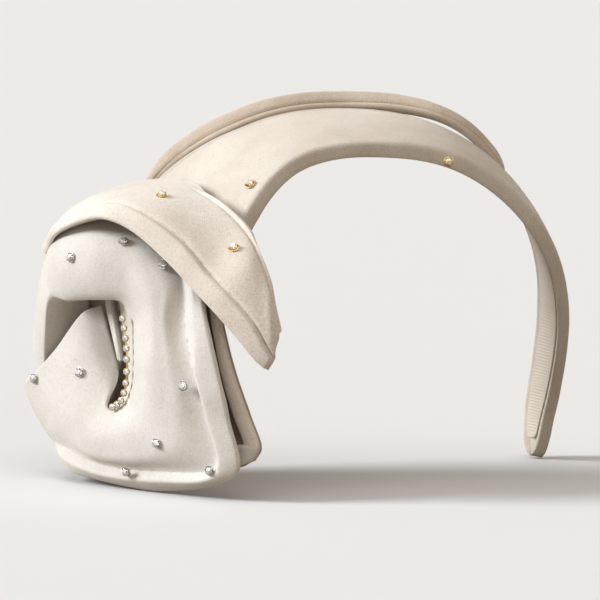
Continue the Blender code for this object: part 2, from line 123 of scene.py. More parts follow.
# The knot's sheets, in the knot's own frame: across to the right, outwards, up.
# The cowl winds round the slit: each section runs from the slit to the outer edge.
COWL = (
    ((-84, 32, 21), (-95, 31, 20), (-98, 32, 18), (-101, 25, 16), (-98, 15, 12), (-83, 9, 8)),
    ((-83, 34, 32), (-94.5, 37, 33), (-98, 38, 34), (-102, 28, 34), (-98.5, 14, 33), (-84, 10, 31)),
    ((-82, 37, 47), (-94, 42, 47), (-96.5, 41, 51), (-98.5, 31, 57), (-95.5, 16, 60), (-81, 9, 60)),
    ((-82, 44, 51.5), (-88.5, 54, 48), (-91.5, 55, 57), (-92.5, 48, 67.5), (-89.5, 29, 72), (-76, 9, 72)),
    ((-80, 43, 54), (-79.5, 63, 49), (-80.5, 68, 58.5), (-80, 65, 71), (-77.5, 47, 76), (-71, 26, 77)),
    ((-73, 50, 51.5), (-70, 70, 49), (-68, 76, 58), (-65, 74.5, 67), (-61, 64, 72), (-57, 51, 74)),
    ((-70.5, 54, 38), (-66.5, 71, 43), (-62, 82, 50), (-56, 83, 56), (-50, 82, 61), (-45, 75, 65)),
    ((-69, 55, 29), (-66, 72, 37), (-61, 84, 41), (-56, 87, 43), (-50, 89, 44), (-42, 95, 46)),
    ((-68.5, 56, 23), (-66, 73, 28), (-61, 86, 30), (-54, 91, 29), (-47, 95, 29), (-37.5, 101, 27)),
    ((-69.5, 57, 18), (-66.5, 72, 21), (-61, 86, 19), (-52, 93, 16), (-43, 98, 14), (-34.5, 103, 14)),
    ((-72.5, 58, 14), (-69, 69, 15), (-63, 82, 10), (-53, 91, 3), (-40, 99, -4), (-32, 103, -6)),
    ((-76, 58, 11), (-73, 66, 12), (-70, 74, 6), (-64, 79, -2), (-59.5, 80, -8), (-55, 78, -14)),
    ((-74, 55, 16), (-76, 62, 13), (-79, 64, 5), (-80, 62, -3), (-79, 60, -8), (-79, 54, -13)),
    ((-71.5, 55, 22), (-76, 58, 18), (-84.5, 56, 10), (-89, 49, 2), (-91, 44, -4), (-92, 36, -10)),
    ((-72.5, 53, 29), (-80, 54, 25), (-90, 48, 17), (-95.5, 40, 9), (-98, 29, 2), (-89, 12, -2)),
    ((-75, 50.5, 38), (-83, 51, 34), (-91.5, 45, 25), (-99.5, 36, 17), (-103, 26, 11), (-92, 7, 6)),
    ((-77.5, 46, 46.5), (-85, 46.5, 43), (-93, 41.5, 32), (-100.5, 35, 23), (-105, 26, 17), (-93, 5, 13)),
)
# The flap: each section goes from its hem to the edge on the band.
FLAP = (
    ((-98, 31, 62), (-98.6, 29, 64.5), (-96.5, 19, 68), (-91.5, 11, 70.5), (-82, 7, 72)),
    ((-93, 51, 70), (-92.5, 48, 73.5), (-89, 34, 77.5), (-83, 16, 79.5), (-72, 6, 80)),
    ((-85, 65, 75), (-83, 61, 79.5), (-78, 45, 83.5), (-70, 25, 85.5), (-59, 12, 86.5)),
    ((-76, 74, 77), (-72, 70, 82), (-66, 54, 86), (-57, 38, 88), (-47, 46, 88)),
    ((-66, 80, 73), (-62, 79, 79), (-55, 67, 84), (-48, 55, 86), (-41, 60, 84)),
    ((-55, 87, 64), (-50, 87, 71), (-44, 77, 78), (-38, 70, 81), (-34, 71, 80)),
    ((-46, 93, 55), (-41, 94, 61), (-35, 88, 68), (-30, 81, 74), (-27, 79, 74)),
    ((-38, 98, 47), (-34, 100, 54), (-28, 96, 62), (-25, 90, 67), (-24, 88, 67)),
    ((-30, 101, 38), (-26, 104, 45), (-23, 102, 51), (-21, 98, 57), (-20, 95, 57)),
    ((-25, 102, 32), (-22, 105, 38), (-20, 105, 44), (-19, 101, 50), (-19, 99, 49)),
    ((-21, 102, 29), (-19, 105, 33), (-18, 105, 37), (-17, 104, 41), (-17, 102, 42)),
)
# The tail under the flap, from its top to its foot.
TAIL = (
    ((-52, 72, 55), (-46, 80, 56), (-41, 84, 56), (-38, 86, 55)),
    ((-50, 76, 45), (-45, 84, 45), (-40, 88, 45), (-36.5, 90, 44)),
    ((-47, 80, 30), (-42, 88, 30), (-37, 92.5, 29), (-32.5, 95, 28)),
    ((-45, 82, 14), (-39, 91, 16), (-33, 95.5, 15), (-27.5, 98, 14)),
    ((-41, 86, 3), (-35, 93, 3), (-29, 97.5, 4), (-24, 100, 4)),
    ((-40, 87, -4), (-34, 93, -4), (-30, 97, -3), (-26, 99, -1)),
)
# The narrow pleat inside the slit.
PLEAT = (
    ((-77.6, 45, 54), (-75.3, 48, 54), (-73.2, 45.5, 54)),
    ((-75.9, 50, 44), (-73.8, 54, 44), (-71.9, 50.5, 44)),
    ((-74, 52.5, 36), (-72.2, 56.5, 36), (-70.5, 52.7, 36)),
    ((-72.2, 54, 28), (-71, 57, 28), (-69.8, 54, 28)),
)
SHEET = 2.0
PLEAT_SHEET = 0.9

# Where the crystals are sewn: the sheet, the position along it and the position across it.
CRYSTALS = (
    (FLAP, 3.9, 1.9), (FLAP, 6.2, 2.2),
    (COWL, 3.5, 2.4), (COWL, 4.7, 3.0), (COWL, 5.7, 3.4), (COWL, 8.4, 3.6), (COWL, 10.2, 2.7),
    (COWL, 10.0, 4.0), (COWL, 11.4, 3.8), (COWL, 14.2, 1.4), (COWL, 15.6, 3.1),
)
# Two more are on the band: turn, distance in from the front edge, height. The second is on the lip.
BAND_CRYSTALS = ((-28.0, 5.5, BAND_TOP), (12.7, 0.0, 2.4))
CRYSTAL_RADIUS = 1.5
CRYSTAL_HEIGHT = 1.6
CRYSTAL_SUNK = 0.15

# The cup chain's line in the knot's frame, down the right side of the slit and round its foot.
CHAIN_PATH = (
    (-69.4, 70.5, 43.5), (-68.4, 71, 37), (-68, 72, 30), (-68.3, 71, 22), (-70, 69, 16), (-73, 66.5, 13.5),
)
CHAIN_STONES = 11
STONE_RADIUS = 1.15


# ---- curves and surfaces


def smooth(points, positions):
    """The curve through the points, read at these positions counted in points."""
    points = np.asarray(points, float)
    padded = np.concatenate([[2 * points[0] - points[1]], points, [2 * points[-1] - points[-2]]])
    index = np.clip(np.asarray(positions, float).astype(int), 0, len(points) - 2)
    t = (positions - index).reshape((-1,) + (1,) * (points.ndim - 1))
    before, first, second, after = (padded[index + step] for step in range(4))
    return 0.5 * (
        2 * first
        + (second - before) * t
        + (2 * before - 5 * first + 4 * second - after) * t**2
        + (3 * first - before - 3 * second + after) * t**3
    )


def at_turns(stations, turns):
    """Reads smoothly between stations that each begin with their turn."""
    table = np.array(stations, float)
    turns = np.atleast_1d(np.asarray(turns, float))
    index = np.clip(np.searchsorted(table[:, 0], turns) - 1, 0, len(table) - 2)
    share = (turns - table[index, 0]) / (table[index + 1, 0] - table[index, 0])
    return smooth(table[:, 1:], index + share)


def front_edge(turns):
    return at_turns(FRONT_EDGE, turns)[:, 0]


def rear_edge(turns):
    return at_turns(REAR_EDGE, turns)[:, 0]


def head_point(turn, y, height):
    """Points this high above the head form."""
    turn, y, height = np.broadcast_arrays(np.radians(turn), y, height)
    sine = np.sin(turn)
    cosine = np.cos(turn)
    room = np.clip(1 - (np.abs(y) / (HEAD_HALF[1] + height)) ** HEAD_POWER, 0, None)
    spread = (np.abs(sine) / (HEAD_HALF[0] + height)) ** HEAD_POWER
    spread = spread + (np.abs(cosine) / (HEAD_HALF[2] + height)) ** HEAD_POWER
    radius = (room / spread) ** (1 / HEAD_POWER)
    return HEAD_CENTRE + np.stack([radius * sine, y, radius * cosine], -1)


def knot_point(points):
    """Points of the knot's own frame in the band's frame."""
    across, outward, up = np.moveaxis(np.asarray(points, float), -1, 0)
    sine = math.sin(math.radians(KNOT_TURN))
    cosine = math.cos(math.radians(KNOT_TURN))
    placed = [across * cosine - outward * sine, -across * sine - outward * cosine, up]
    return HEAD_CENTRE + np.stack(placed, -1)


def steps(start, end, step):
    return np.linspace(start, end, max(2, round(abs(end - start) / step)) + 1)


def unit(vectors):
    return vectors / np.maximum(np.linalg.norm(vectors, axis=-1, keepdims=True), 1e-9)


def grid_normals(grid):
    """Normals of a grid of points, turned away from the head."""
    normals = unit(np.cross(np.gradient(grid, axis=0), np.gradient(grid, axis=1)))
    return normals if (normals * (grid - HEAD_INSIDE)).sum() > 0 else -normals


def arcs(grid, axis):
    """Distances along the grid's rows or columns from their first point."""
    lengths = np.linalg.norm(np.diff(grid, axis=axis), axis=-1)
    total = np.cumsum(lengths, axis=axis)
    start = np.zeros_like(np.take(total, [0], axis=axis))
    return np.concatenate([start, total], axis=axis)


def bump_between(value, low, high, fade):
    """One between low and high, fading to zero over this much on either side."""
    rise = np.clip((value - low) / fade + 1, 0, 1)
    fall = np.clip((high - value) / fade + 1, 0, 1)
    inside = rise * fall
    return inside * inside * (3 - 2 * inside)


def step_up(value, middle, width):
    """Rises from zero to one round the middle."""
    share = np.clip((value - middle) / width + 0.5, 0, 1)
    return share * share * (3 - 2 * share)


def groove(value, middle, width):
    return np.exp(-(((value - middle) / width) ** 2))


# ---- meshes


def mesh_piece(name, points, faces, materials, face_materials=None, places=None, smooth_angle=50):
    """Makes a piece from points in millimetres. Places are UV coordinates, one for each point."""
    mesh = bpy.data.meshes.new(name)
    mesh.from_pydata((np.asarray(points) * MM).tolist(), [], faces)
    for item in materials:
        mesh.materials.append(item)
    if face_materials is not None:
        mesh.polygons.foreach_set("material_index", face_materials)
    if places is not None:
        corners = np.zeros(len(mesh.loops), int)
        mesh.loops.foreach_get("vertex_index", corners)
        layer = mesh.uv_layers.new(name="cloth")
        layer.data.foreach_set("uv", np.asarray(places, float)[corners].ravel())
    mesh.shade_smooth()
    mesh.set_sharp_from_angle(angle=math.radians(smooth_angle))
    mesh.validate()
    piece = bpy.data.objects.new(name, mesh)
    bpy.context.scene.collection.objects.link(piece)
    return piece


def ring_faces(rows, columns):
    """Quads between closed rings of points, numbered ring by ring."""
    faces = []
    for row in range(rows - 1):
        one = row * columns
        two = one + columns
        for column in range(columns):
            after = (column + 1) % columns
            faces.append((one + column, one + after, two + after, two + column))
    return faces


def face_out(points, faces):
    """Turns every face round if the closed mesh they make is inside out."""
    points = np.asarray(points)
    volume = 0.0
    for face in faces:
        first = points[face[0]]
        for two, three in zip(face[1:], face[2:]):
            volume += np.dot(first, np.cross(points[two], points[three]))
    return faces if volume > 0 else [face[::-1] for face in faces]


def lofted(rings):
    """Points and faces of a closed body through rings of points, capped at both ends."""
    rings = np.asarray(rings)
    rows, columns = rings.shape[:2]
    faces = ring_faces(rows, columns)
    faces.append(tuple(range(columns))[::-1])
    faces.append(tuple(range((rows - 1) * columns, rows * columns)))
    points = rings.reshape(-1, 3)
    return points, face_out(points, faces)


def joined(parts):
    """One list of points and faces, and the part each face came from."""
    points, faces, owners = [], [], []
    for number, (own_points, own_faces) in enumerate(parts):
        start = sum(len(done) for done in points)
        points.append(np.asarray(own_points))
        faces += [tuple(index + start for index in face) for face in own_faces]
        owners += [number] * len(own_faces)
    return np.concatenate(points), faces, np.array(owners)


def joined_piece(name, parts, material, smooth_angle=50):
    points, faces, _ = joined(parts)
    return mesh_piece(name, points, faces, [material], smooth_angle=smooth_angle)


# The rounded end of a rod: distances past its end and radii there, as shares of its own radius.
ROD_END = ((0.45, 0.87), (0.85, 0.5))


def tube(path, radius, sides, squash=1.0):
    """A round rod along a path, with rounded ends."""
    path = np.asarray(path, float)
    ways = unit(np.gradient(path, axis=0))
    side = np.cross(ways[0], (0.3, 0.2, 1.0) if abs(ways[0][2]) < 0.9 else (1.0, 0.2, 0.1))
    side = side / np.linalg.norm(side)
    radius = np.broadcast_to(radius, len(path)).astype(float)
    angles = np.linspace(0, math.tau, sides, endpoint=False)
    rings = []
    for index, (point, way) in enumerate(zip(path, ways)):
        side = unit(side - way * side.dot(way))
        other = np.cross(way, side)
        spokes = np.cos(angles)[:, None] * side + np.sin(angles)[:, None] * other * squash
        if index == 0:
            for back, share in ROD_END[::-1]:
                rings.append(point - way * radius[0] * back + spokes * radius[0] * share)
        rings.append(point + spokes * radius[index])
        if index == len(path) - 1:
            for ahead, share in ROD_END:
                rings.append(point + way * radius[-1] * ahead + spokes * radius[-1] * share)
    return lofted(rings)


EDGE_POSITIONS = (0.012, 0.035, 0.07)


def edge_dense(spans, per_span):
    """Positions over the spans, closer together at both ends, where a sheet's edge is rounded."""
    even = np.linspace(0, spans, spans * per_span + 1)
    near = np.array(EDGE_POSITIONS)
    return np.unique(np.concatenate([even, near, spans - near]).round(4))


def felt_grain(points, amount, size):
    """A soft unevenness of the surface, as lengths along the normals."""
    flat = points.reshape(-1, 3) / size
    values = [noise.noise(Vector(point)) for point in flat]
    return amount * np.array(values).reshape(points.shape[:-1])


# The corners of a quad, as steps down and across a grid.
QUAD = ((0, 0), (0, 1), (1, 1), (1, 0))


def sheet_body(outer, normals, thickness):
    """A closed sheet under an outer face, with rounded edges. Returns points, faces and UV places."""
    rows, columns = outer.shape[:2]
    down = arcs(outer, 0)
    over = arcs(outer, 1)
    reach = np.minimum(np.minimum(down, down[-1] - down), np.minimum(over, over[:, -1:] - over))
    share = 1 - np.clip(reach / (thickness / 2), 0, 1)
    half = thickness / 2 * np.sqrt(np.clip(1 - share**2, 0, 1))
    middle = outer - normals * thickness / 2
    top = middle + normals * half[..., None]
    base = middle - normals * half[..., None]
    number = np.arange(rows * columns).reshape(rows, columns)
    below = number.copy()
    inside = np.arange((rows - 2) * (columns - 2)).reshape(rows - 2, columns - 2)
    below[1:-1, 1:-1] = rows * columns + inside
    faces = []
    for row in range(rows - 1):
        for column in range(columns - 1):
            for side, corners in ((number, QUAD), (below, QUAD[::-1])):
                faces.append(tuple(int(side[row + lower, column + across]) for lower, across in corners))
    points = np.concatenate([top.reshape(-1, 3), base[1:-1, 1:-1].reshape(-1, 3)])
    centre = slice(columns // 2, columns // 2 + 1)
    lie = np.stack([over - over[:, centre], np.repeat(down[:, centre], columns, 1)], -1)
    places = np.concatenate([lie.reshape(-1, 2), lie[1:-1, 1:-1].reshape(-1, 2)])
    return points, face_out(points, faces), places


def surface(grid, long, cross):
    """The smooth surface through a grid of points, read at these positions along it and across it."""
    return np.moveaxis(smooth(np.moveaxis(smooth(grid, long), 1, 0), cross), 0, 1)


def sheet_place(sections, long, cross):
    """A point on a sheet's outer face and the outward normal there."""
    nearby = np.array((-0.04, 0.0, 0.04))
    around = surface(knot_point(sections), long + nearby, cross + nearby)
    normal = unit(np.cross(around[2, 1] - around[0, 1], around[1, 2] - around[1, 0]))
    return around[1, 1], normal if normal.dot(around[1, 1] - HEAD_INSIDE) > 0 else -normal


# ---- materials


class Nodes:
    """Builds one material. Each method adds a node and gives back the socket that others take."""

    def __init__(self, name):
        self.material = bpy.data.materials.new(name)
        self.material.use_nodes = True
        self.tree = self.material.node_tree
        self.shader = self.tree.nodes["Principled BSDF"]

    def put(self, socket, value):
        if isinstance(value, bpy.types.NodeSocket):
            self.tree.links.new(value, socket)
        elif value is not None:
            socket.default_value = value

    def add(self, kind, *values, output=0, **settings):
        made = self.tree.nodes.new("ShaderNode" + kind)
        for key, value in settings.items():
            setattr(made, key, value)
        for socket, value in zip(made.inputs, values):
            self.put(socket, value)
        return made.outputs[output]

    def place(self):
        return self.add("TexCoord", output=3)

    def cloth(self):
        """The UV place, in metres of cloth."""
        return self.add("UVMap", uv_map="cloth")

    def maths(self, operation, one, two=None, three=None):
        return self.add("Math", one, two, three, operation=operation)

    def times(self, one, two):
        return self.maths("MULTIPLY", one, two)

    def waves(self, place, axis, pitch):
        """Waves along an axis, this many millimetres apart, from -1 to 1."""
        along = self.add("SeparateXYZ", place, output=axis)
        return self.maths("SINE", self.times(along, math.tau / (pitch * MM)))

    def noise(self, place, scale, detail, rough):
        return self.add("TexNoise", place, None, scale, detail, rough)

    def span(self, value, low, high, to_low=0.0, to_high=1.0):
        return self.add("MapRange", value, low, high, to_low, to_high, interpolation_type="SMOOTHSTEP")

    def mix(self, share, one, two):
        """Mixes two colours; the five sockets left out are for other kinds of value."""
        return self.add("Mix", share, *[None] * 5, one, two, output=2, data_type="RGBA")

    def bump(self, height, distance, strength=1.0, under=None):
        """Relief from a height of 0 to 1 over this distance in millimetres."""
        made = self.tree.nodes.new("ShaderNodeBump")
        made.inputs["Strength"].default_value = strength
        made.inputs["Distance"].default_value = distance * MM
        self.put(made.inputs["Height"], height)
        self.put(made.inputs["Normal"], under)
        return made.outputs["Normal"]

    def finish(self, colour, roughness, normal=None, **others):
        self.put(self.shader.inputs["Base Color"], colour)
        self.put(self.shader.inputs["Roughness"], roughness)
        self.put(self.shader.inputs["Normal"], normal)
        for key, value in others.items():
            self.put(self.shader.inputs[key.replace("_", " ")], value)
        return self.material


def rgb(red, green, blue):
    return (red, green, blue, 1.0)


WEAVE_PITCH = 1.1


def weave(made, cloth):
    """A plain weave over the UV cloth: threads that pass over and under each other, from 0 to 1."""
    warp = made.waves(cloth, 0, WEAVE_PITCH)
    weft = made.waves(cloth, 1, WEAVE_PITCH)
    threads = made.maths("ADD", made.maths("ABSOLUTE", warp), made.maths("ABSOLUTE", weft))
    return made.maths("MULTIPLY_ADD", made.times(warp, weft), 0.3, made.times(threads, 0.5))


def felt(name, pale, deep, fleck_and_shade, weave_depth=0.10, fleck_share=0.10, browner=None):
    """Matted wool over a fine weave: mottled colour, darker flecks, loose fibres, a soft sheen and painted
    shade in the weave's hollows.

    Browner gives two distances along the cloth, in metres: from the one to the other it grows browner and
    more flecked; the browning is painted shade.
    """
    made = Nodes(name)
    place = made.place()
    cloth = made.cloth()
    cloud = made.noise(place, 45.0, 4.0, 0.55)
    mottle = made.noise(place, 420.0, 4.0, 0.65)
    fibre = made.noise(place, 2300.0, 3.0, 0.7)
    threads = weave(made, cloth)
    colour = made.mix(made.span(cloud, 0.35, 0.7), pale, deep)
    colour = made.mix(made.times(made.span(mottle, 0.5, 0.72), 0.45), colour, deep)
    flecks = made.span(made.noise(place, 1300.0, 3.0, 0.65), 0.42, 0.78)
    share = fleck_share * 4
    if browner:
        # Painted shade: browner towards the far end, with more of the darker flecks there.
        wear_and_shade = made.span(made.add("SeparateXYZ", cloth, output=1), *browner)
        colour = made.mix(made.times(wear_and_shade, 0.8), colour, deep)
        share = made.maths("ADD", share, made.times(wear_and_shade, 0.2))
    colour = made.mix(made.times(flecks, share), colour, fleck_and_shade)
    # Painted shade: the fleck colour in the weave's hollows, where the threads dip.
    colour = made.mix(made.times(made.span(threads, 0.5, 0.0), 0.2), colour, fleck_and_shade)
    relief = made.bump(threads, weave_depth, 0.7)
    relief = made.bump(mottle, 0.25, 0.5, relief)
    relief = made.bump(fibre, 0.10, 0.6, relief)
    roughness = made.span(fibre, 0.3, 0.7, 0.82, 0.98)
    return made.finish(
        colour, roughness, relief, Specular_IOR_Level=0.25,
        Sheen_Weight=0.35, Sheen_Roughness=0.55, Sheen_Tint=rgb(1.0, 0.97, 0.93),
    )


def ribbon(name, pale, deep):
    """Grosgrain ribbon: ribs across it with painted shade between them, a little silkier than the felt."""
    made = Nodes(name)
    place = made.place()
    ribs = made.waves(made.cloth(), 1, 1.4)
    shade = made.noise(place, 60.0, 2.0, 0.5)
    thread = made.noise(place, 1800.0, 2.0, 0.6)
    colour = made.mix(made.times(made.span(shade, 0.3, 0.75), 0.35), pale, deep)
    # Painted shade: darker in the troughs between the ribs.
    colour = made.mix(made.times(made.span(ribs, 0.2, -1.0), 0.35), colour, deep)
    roughness = made.span(thread, 0.3, 0.7, 0.5, 0.72)
    relief = made.bump(thread, 0.08, 0.6)
    return made.finish(colour, roughness, relief, Sheen_Weight=0.3, Specular_IOR_Level=0.4)


def open_weave(name, pale, deep):
    """Stiffened buckram: a coarse open weave with size dried in it."""
    made = Nodes(name)
    place = made.place()
    one = made.maths("ABSOLUTE", made.waves(place, 0, 1.6))
    two = made.maths("ABSOLUTE", made.waves(place, 2, 1.6))
    net = made.maths("MAXIMUM", one, two)
    size = made.noise(place, 500.0, 3.0, 0.6)
    colour = made.mix(made.span(net, 0.75, 0.95), deep, pale)
    relief = made.bump(size, 0.15, 0.5, made.bump(net, 0.3, 0.8))
    return made.finish(colour, made.span(size, 0.3, 0.7, 0.6, 0.85), relief)


def metal(name, bright, dull, roughness):
    made = Nodes(name)
    wear_and_shade = made.noise(made.place(), 900.0, 3.0, 0.6)
    colour = made.mix(made.span(wear_and_shade, 0.35, 0.75), bright, dull)
    rough = made.span(wear_and_shade, 0.3, 0.8, roughness, roughness + 0.2)
    return made.finish(colour, rough, made.bump(wear_and_shade, 0.03, 0.4), Metallic=1.0)


def stone(name, pale, deep):
    """Foiled glass with painted light: facets painted pale where they face the camera and painted shade
    towards their edges.
    """
    made = Nodes(name)
    # Painted highlight and shade: pale where the facet faces the camera, darker at grazing angles.
    painted_glint = made.add("LayerWeight", 0.35, output=1)
    cloud = made.noise(made.place(), 1500.0, 1.0, 0.5)
    colour = made.mix(made.span(painted_glint, 0.15, 0.9), pale, deep)
    colour = made.mix(made.times(cloud, 0.15), colour, deep)
    return made.finish(colour, 0.04, Metallic=0.85, Coat_Weight=1.0, Coat_Roughness=0.02)


def plastic(name, pale, deep):
    made = Nodes(name)
    place = made.place()
    cloud = made.noise(place, 90.0, 2.0, 0.5)
    grain = made.noise(place, 1400.0, 2.0, 0.5)
    colour = made.mix(made.span(cloud, 0.3, 0.7), pale, deep)
    roughness = made.span(grain, 0.3, 0.7, 0.16, 0.3)
    relief = made.bump(grain, 0.02, 0.3)
    return made.finish(colour, roughness, relief, Transmission_Weight=0.25, Coat_Weight=0.4)


def yarn(name, pale, deep):
    made = Nodes(name)
    ply = made.noise(made.place(), 2600.0, 2.0, 0.6)
    colour = made.mix(made.span(ply, 0.35, 0.65), pale, deep)
    roughness = made.span(ply, 0.3, 0.7, 0.55, 0.8)
    return made.finish(colour, roughness, made.bump(ply, 0.06, 0.7), Sheen_Weight=0.4)


BAND_FELT = felt("band_felt", rgb(0.635, 0.60, 0.545), rgb(0.56, 0.51, 0.445), rgb(0.40, 0.32, 0.24))
# The strap's felt is a darker copy of the band's: painted shade.
SHADED_STRAP_FELT = felt("strap_felt", rgb(0.60, 0.53, 0.45), rgb(0.49, 0.41, 0.33), rgb(0.33, 0.25, 0.18))
# The flap's felt is a paler copy of the cowl's: painted light. Towards its far end it grows browner:
# painted shade.
LIT_AND_SHADED_FLAP_FELT = felt(
    "flap_felt_painted_light_and_shade", rgb(0.77, 0.735, 0.69), rgb(0.68, 0.625, 0.56), rgb(0.38, 0.29, 0.21),
    fleck_share=0.09, browner=(0.098, 0.120),
)
COWL_FELT = felt(
    "cowl_felt", rgb(0.675, 0.66, 0.635), rgb(0.60, 0.58, 0.545), rgb(0.42, 0.36, 0.30), 0.05, 0.09
)
# A darker copy of the knot's felt: painted shade, on the tail beside the cowl and on the base's cover.
SHADED_TAIL_FELT = felt("tail_felt_painted_shade", rgb(0.46, 0.38, 0.30), rgb(0.37, 0.295, 0.22), rgb(0.25, 0.18, 0.13), 0.05)
RIBBON = ribbon("ribbon_lining", rgb(0.66, 0.60, 0.52), rgb(0.50, 0.43, 0.35))
BUCKRAM = open_weave("buckram", rgb(0.80, 0.77, 0.70), rgb(0.52, 0.48, 0.41))
COVERED_WIRE = yarn("covered_wire", rgb(0.66, 0.61, 0.54), rgb(0.54, 0.48, 0.40))
BRASS = metal("brass", rgb(0.90, 0.70, 0.36), rgb(0.62, 0.43, 0.18), 0.2)
SILVER = metal("crystal_cup", rgb(0.82, 0.80, 0.77), rgb(0.42, 0.40, 0.38), 0.18)
CLEAR = stone("clear_crystal", rgb(0.95, 0.96, 0.98), rgb(0.20, 0.21, 0.22))
CHAMPAGNE = stone("champagne_crystal", rgb(0.98, 0.88, 0.66), rgb(0.45, 0.33, 0.16))
PLASTIC = plastic("comb_plastic", rgb(0.80, 0.73, 0.62), rgb(0.68, 0.58, 0.45))
THREAD = yarn("thread", rgb(0.72, 0.66, 0.57), rgb(0.55, 0.47, 0.38))


# ---- riding on the frame

FLEX_TURN = 20.5
# Half the length of the bend, in metres.
FLEX_REACH = 0.028


def bend(piece):
    """Bakes the piece's transform into its mesh. The way along the flexing line is worked out but not used;
    the piece is not bent.
    """
    way = head_point(FLEX_TURN + 2, 0, BAND_TOP) - head_point(FLEX_TURN - 2, 0, BAND_TOP)
    way = unit(way * (1, 0, 1)) * FLEX_REACH
    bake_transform(piece)


def settle(piece, body, slot, *nodes):
    """Rides the piece on its body, or bakes its transform where body is None, in place of these CAD nodes.
    """
    if body is None:
        bend(piece)
    else:
        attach(piece, body)
    if nodes:
        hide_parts(*nodes)


def both_sides(name):
    return (f"{name}_right", f"{name}_left")


# ---- the band

# The felt's outline across the band at its front edge, as (distance in, height): from the top,
# round the lip, along the turned-in hem and back up to the hollow under the top.
EDGE_OUTLINE = (
    (2.2, 5.02), (1.3, 5.05), (0.7, 4.95), (0.25, 4.65), (0.03, 4.2), (0.0, 3.4), (0.0, 2.0), (0.06, 1.2),
    (0.3, 0.7), (0.9, 0.45), (1.7, 0.5), (2.6, 0.78), (3.4, 1.1), (4.1, 1.3), (4.3, 1.5), (4.15, 1.75),
    (3.4, 1.85), (2.5, 1.9), (1.95, 2.3), (1.8, 2.8), (2.0, 3.2), (2.6, 3.35),
)
# Where half the band is narrower than this, the outline shrinks with it.
NARROW_HALF = 6.5
# At the tips, over these turns, the band is rounded and its hollow points come down to one height.
HOLLOW_POINTS = 7
TIP_ROUND = 4.5
TIP_FILL = 7.0
TIP_HEIGHT = 1.45


def felt_ring(turn):
    """The outline of the band's felt across, closed, in order."""
    front = front_edge(turn)[0]
    rear = rear_edge(turn)[0]
    middle = (front + rear) / 2
    near_tip = max(RIGHT_END + TIP_ROUND - turn, turn - (LEFT_END - TIP_ROUND), 0) / TIP_ROUND
    narrow = math.sqrt(max(1 - near_tip**2, 0.02))
    half = (rear - front) / 2 * narrow
    reach = min(1.0, half / NARROW_HALF)
    inset = np.array([min(distance * reach, half - 0.05) for distance, _ in EDGE_OUTLINE])
    lift = np.array([height for _, height in EDGE_OUTLINE])
    to_tip = min(turn - RIGHT_END, LEFT_END - turn)
    closing = 1 - step_up(np.array(to_tip), TIP_FILL, 4.0)
    lift[-HOLLOW_POINTS:] -= closing * (lift[-HOLLOW_POINTS:] - TIP_HEIGHT)
    roof = np.linspace(inset[0], 2 * half - inset[0], 16)[1:-1]
    floor = np.linspace(2 * half - inset[-1], inset[-1], 12)[1:-1]
    distances = np.concatenate([roof[::-1], inset, floor[::-1], 2 * half - inset[::-1]])
    over = np.full(len(roof), BAND_TOP)
    under = np.full(len(floor), lift[-1])
    return head_point(turn, middle - half + distances, np.concatenate([over, lift, under, lift[::-1]]))


def uneven(rings, size):
    """The rings with a soft unevenness, in bumps of this size."""
    away = unit(rings - rings.mean(1, keepdims=True))
    return rings + away * felt_grain(rings, 0.10, size)[..., None]


def build_length(name, rings, measured, material, slot, *nodes):
    """A piece along the band through rings of points, its length measured along one of their lines."""
    points, faces = lofted(rings)
    along = np.repeat(arcs(rings, 0)[:, measured, None], rings.shape[1], 1)
    places = np.stack([arcs(rings, 1), along], -1).reshape(-1, 2) * MM
    settle(mesh_piece(name, points, faces, [material], places=places), None, slot, *nodes)


def build_band():
    turns = steps(RIGHT_END + 0.05, LEFT_END - 0.05, 1.0)
    rings = uneven(np.array([felt_ring(turn) for turn in turns]), 7.0)
    build_length("felt_band", rings, 20, BAND_FELT, "felt", *both_sides("band_felt"))


# The lining's outline across, as (distance in, height): over its edge, and back under it.
LINING_EDGE = 3.3
LINING_TOP = 1.02
LINING_UNDER = 0.42
LINING_OVER_EDGE = ((0.0, 0.75), (0.12, 1.0), (0.5, 1.1), (1.0, LINING_TOP))
LINING_UNDER_EDGE = ((0.12, 0.45), (0.5, 0.34), (1.0, LINING_UNDER))
LINING_BETWEEN = 8
RIB = 0.8
RIB_DEPTH = 0.07


def lining_ring(turn):
    front = front_edge(turn)[0] + LINING_EDGE
    rear = rear_edge(turn)[0] - LINING_EDGE
    to_end = min(turn - LINING_ENDS[0], LINING_ENDS[1] - turn) / 2.5
    drawn_in = 1.6 * (1 - math.sqrt(1 - (1 - min(to_end, 1)) ** 2))
    front += drawn_in
    rear -= drawn_in
    width = rear - front
    rib = RIB_DEPTH * math.sin(math.tau * turn / RIB)
    between = [(inset, LINING_TOP) for inset in np.linspace(1.5, width - 1.5, LINING_BETWEEN)]
    spots = [*LINING_OVER_EDGE, *between]
    spots += [(width - inset, height) for inset, height in LINING_OVER_EDGE[::-1]]
    spots += [(width - inset, height) for inset, height in LINING_UNDER_EDGE]
    spots += [(inset, LINING_UNDER - rib) for inset, _ in between[::-1]]
    spots += LINING_UNDER_EDGE[::-1]
    distances, heights = np.array(spots).T
    return head_point(turn, front + distances, heights)


def build_lining():
    rings = np.array([lining_ring(turn) for turn in steps(*LINING_ENDS, RIB / 4)])
    build_length("ribbon_lining", rings, 0, RIBBON, "ribbon_lining", *both_sides("band_lining"))


# The strap's outline across, as shares of its half width and half thickness; the step is its hem.
STRAP_OUTLINE = (
    (1.0, 0.0), (0.97, 0.5), (0.88, 0.85), (0.7, 1.0), (0.4, 1.04), (0.05, 1.06), (-0.25, 1.02),
    (-0.38, 0.72), (-0.5, 1.0), (-0.72, 1.02), (-0.9, 0.8), (-0.98, 0.4), (-1.0, 0.0), (-0.98, -0.5),
    (-0.88, -0.85), (-0.7, -1.0), (-0.3, -1.0), (0.3, -1.0), (0.7, -1.0), (0.88, -0.85), (0.97, -0.5),
)


